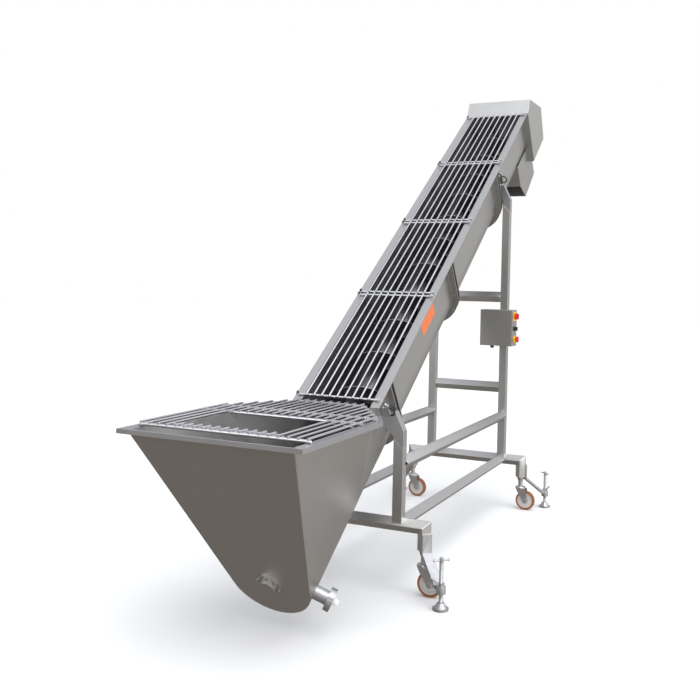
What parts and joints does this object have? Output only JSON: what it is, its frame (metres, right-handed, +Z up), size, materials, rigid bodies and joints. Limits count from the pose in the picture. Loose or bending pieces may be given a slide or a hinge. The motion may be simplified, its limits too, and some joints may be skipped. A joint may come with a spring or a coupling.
{
  "type": "grain auger",
  "caption": "Mobile inclined trough screw conveyor with grated feed hopper, bar guard, discharge chute, wheeled tube frame and levelling jacks.",
  "frame": {"origin": "on the floor, under the middle of the overall length and width", "axes": "+X from the hopper towards the discharge head, +Y to the left looking that way, +Z up"},
  "size_m": [4.2294, 1.1234, 2.8846],
  "materials": {
    "stainless_sheet": "satin, fine grit",
    "stainless_bright": "smooth",
    "castor_tyre": "orange-brown polyurethane tread on a cream core",
    "black_rubber": "matt",
    "orange_label": "plain orange plate without text",
    "bearing_bronze": "turned",
    "motor_paint": "grey paint",
    "white_plastic": "smooth",
    "black_plastic": "smooth",
    "yellow_plastic": "smooth",
    "red_plastic": "smooth"
  },
  "bodies": {
    "frame": {"posts": "stainless_sheet", "post_caps": "stainless_sheet", "base_tubes": "stainless_sheet", "rear_cross_rails": "stainless_sheet", "side_rails": "stainless_sheet", "castor_sockets": "stainless_sheet", "jack_arms": "stainless_sheet", "trough_lower": "stainless_sheet", "trough_upper": "stainless_sheet", "trough_bands": "stainless_sheet", "band_bolts": "stainless_bright", "post_brackets": "stainless_sheet", "lifting_lugs": "stainless_bright", "lifting_loops": "black_rubber", "side_label": "orange_label", "hopper_shell": "stainless_sheet", "hopper_front_plate": "stainless_sheet", "hopper_rim": "stainless_sheet", "tail_bearing_cap": "stainless_bright", "screw_bearings": "bearing_bronze", "head_plate": "stainless_sheet", "drive_hood": "stainless_sheet", "gearmotor": "motor_paint", "discharge_chute": "stainless_sheet", "trough_grille": "stainless_bright", "hopper_grating": "stainless_bright", "drain_pipe": "stainless_bright", "drain_plug": "white_plastic", "control_case": "stainless_sheet", "control_lid": "stainless_sheet", "cable_gland": "black_plastic", "yellow_bases": "yellow_plastic", "selector_ring": "black_plastic", "contact_blocks": "white_plastic"},
    "screw": {"screw_shaft": "stainless_bright", "screw_flight": "stainless_bright"},
    "drain_nut_body": {"drain_nut": "stainless_bright"},
    "isolator": {"isolator_knob": "red_plastic"},
    "selector": {"selector_knob": "black_plastic"},
    "stop": {"stop_button": "red_plastic"},
    "castor_fork_front_right": {"castor_fork_front_right": "stainless_bright"},
    "castor_wheel_front_right": {"castor_wheel_front_right": "castor_tyre"},
    "jack_foot_front_right": {"jack_foot_front_right": "stainless_bright"},
    "jack_screw_front_right": {"jack_screw_front_right": "stainless_bright"},
    "jack_lever_front_right": {"jack_lever_front_right": "stainless_bright"},
    "castor_fork_front_left": {"castor_fork_front_left": "stainless_bright"},
    "castor_wheel_front_left": {"castor_wheel_front_left": "castor_tyre"},
    "jack_foot_front_left": {"jack_foot_front_left": "stainless_bright"},
    "jack_screw_front_left": {"jack_screw_front_left": "stainless_bright"},
    "jack_lever_front_left": {"jack_lever_front_left": "stainless_bright"},
    "castor_fork_rear_right": {"castor_fork_rear_right": "stainless_bright"},
    "castor_wheel_rear_right": {"castor_wheel_rear_right": "castor_tyre"},
    "jack_foot_rear_right": {"jack_foot_rear_right": "stainless_bright"},
    "jack_screw_rear_right": {"jack_screw_rear_right": "stainless_bright"},
    "jack_lever_rear_right": {"jack_lever_rear_right": "stainless_bright"},
    "castor_fork_rear_left": {"castor_fork_rear_left": "stainless_bright"},
    "castor_wheel_rear_left": {"castor_wheel_rear_left": "castor_tyre"},
    "jack_foot_rear_left": {"jack_foot_rear_left": "stainless_bright"},
    "jack_screw_rear_left": {"jack_screw_rear_left": "stainless_bright"},
    "jack_lever_rear_left": {"jack_lever_rear_left": "stainless_bright"}
  },
  "joints": [
    {"name": "screw_turn", "type": "hinge", "parent": "frame", "child": "screw", "pos_m": [-0.85672, 0, 0.77721], "axis": [0.8192, 0, 0.5736], "continuous": true},
    {"name": "castor_swivel_front_right", "type": "hinge", "parent": "frame", "child": "castor_fork_front_right", "pos_m": [-0.83172, -0.385, 0.2], "axis": [0, 0, 1], "continuous": true},
    {"name": "castor_roll_front_right", "type": "hinge", "parent": "castor_fork_front_right", "child": "castor_wheel_front_right", "pos_m": [-0.83172, -0.42, 0.0625], "axis": [1, 0, 0], "continuous": true},
    {"name": "jack_lift_front_right", "type": "slide", "parent": "frame", "child": "jack_foot_front_right", "axis": [0, 0, 1], "range_m": [-0.03, 0.035]},
    {"name": "jack_wind_front_right", "type": "hinge", "parent": "jack_foot_front_right", "child": "jack_screw_front_right", "pos_m": [-0.96678, -0.52006, 0.15], "axis": [0, 0, 1], "range_deg": [-2700, 3150]},
    {"name": "jack_lock_front_right", "type": "hinge", "parent": "frame", "child": "jack_lever_front_right", "pos_m": [-0.96678, -0.52006, 0.116], "axis": [0, 0, 1], "range_deg": [0, 90]},
    {"name": "castor_swivel_front_left", "type": "hinge", "parent": "frame", "child": "castor_fork_front_left", "pos_m": [-0.83172, 0.385, 0.2], "axis": [0, 0, 1], "continuous": true},
    {"name": "castor_roll_front_left", "type": "hinge", "parent": "castor_fork_front_left", "child": "castor_wheel_front_left", "pos_m": [-0.83172, 0.35, 0.0625], "axis": [1, 0, 0], "continuous": true},
    {"name": "jack_lift_front_left", "type": "slide", "parent": "frame", "child": "jack_foot_front_left", "axis": [0, 0, 1], "range_m": [-0.03, 0.035]},
    {"name": "jack_wind_front_left", "type": "hinge", "parent": "jack_foot_front_left", "child": "jack_screw_front_left", "pos_m": [-0.96678, 0.52006, 0.15], "axis": [0, 0, 1], "range_deg": [-2700, 3150]},
    {"name": "jack_lock_front_left", "type": "hinge", "parent": "frame", "child": "jack_lever_front_left", "pos_m": [-0.96678, 0.52006, 0.116], "axis": [0, 0, 1], "range_deg": [0, 90]},
    {"name": "castor_swivel_rear_right", "type": "hinge", "parent": "frame", "child": "castor_fork_rear_right", "pos_m": [1.01828, -0.385, 0.2], "axis": [0, 0, 1], "continuous": true},
    {"name": "castor_roll_rear_right", "type": "hinge", "parent": "castor_fork_rear_right", "child": "castor_wheel_rear_right", "pos_m": [1.01828, -0.42, 0.0625], "axis": [1, 0, 0], "continuous": true},
    {"name": "jack_lift_rear_right", "type": "slide", "parent": "frame", "child": "jack_foot_rear_right", "axis": [0, 0, 1], "range_m": [-0.03, 0.035]},
    {"name": "jack_wind_rear_right", "type": "hinge", "parent": "jack_foot_rear_right", "child": "jack_screw_rear_right", "pos_m": [1.15334, -0.52006, 0.15], "axis": [0, 0, 1], "range_deg": [-2700, 3150]},
    {"name": "jack_lock_rear_right", "type": "hinge", "parent": "frame", "child": "jack_lever_rear_right", "pos_m": [1.15334, -0.52006, 0.116], "axis": [0, 0, 1], "range_deg": [0, 90]},
    {"name": "castor_swivel_rear_left", "type": "hinge", "parent": "frame", "child": "castor_fork_rear_left", "pos_m": [1.01828, 0.385, 0.2], "axis": [0, 0, 1], "continuous": true},
    {"name": "castor_roll_rear_left", "type": "hinge", "parent": "castor_fork_rear_left", "child": "castor_wheel_rear_left", "pos_m": [1.01828, 0.35, 0.0625], "axis": [1, 0, 0], "continuous": true},
    {"name": "jack_lift_rear_left", "type": "slide", "parent": "frame", "child": "jack_foot_rear_left", "axis": [0, 0, 1], "range_m": [-0.03, 0.035]},
    {"name": "jack_wind_rear_left", "type": "hinge", "parent": "jack_foot_rear_left", "child": "jack_screw_rear_left", "pos_m": [1.15334, 0.52006, 0.15], "axis": [0, 0, 1], "range_deg": [-2700, 3150]},
    {"name": "jack_lock_rear_left", "type": "hinge", "parent": "frame", "child": "jack_lever_rear_left", "pos_m": [1.15334, 0.52006, 0.116], "axis": [0, 0, 1], "range_deg": [0, 90]},
    {"name": "drain_nut_turn", "type": "hinge", "parent": "frame", "child": "drain_nut_body", "pos_m": [-1.50436, -0.2217, 0.16746], "axis": [0.2868, -0.866, -0.4096], "continuous": true},
    {"name": "isolator_turn", "type": "hinge", "parent": "frame", "child": "isolator", "pos_m": [0.93328, -0.35, 1.291], "axis": [0, -1, 0], "range_deg": [-90, 0]},
    {"name": "selector_turn", "type": "hinge", "parent": "frame", "child": "selector", "pos_m": [0.93328, -0.35, 1.21], "axis": [0, -1, 0], "range_deg": [-45, 45]},
    {"name": "stop_press", "type": "slide", "parent": "frame", "child": "stop", "axis": [0, 1, 0], "range_m": [0, 0.006]}
  ],
  "couplings": [
    {"joint": "jack_wind_front_right", "follows": "jack_lift_front_right", "rad_per_m": 1570.8},
    {"joint": "jack_wind_front_left", "follows": "jack_lift_front_left", "rad_per_m": 1570.8},
    {"joint": "jack_wind_rear_right", "follows": "jack_lift_rear_right", "rad_per_m": 1570.8},
    {"joint": "jack_wind_rear_left", "follows": "jack_lift_rear_left", "rad_per_m": 1570.8}
  ]
}
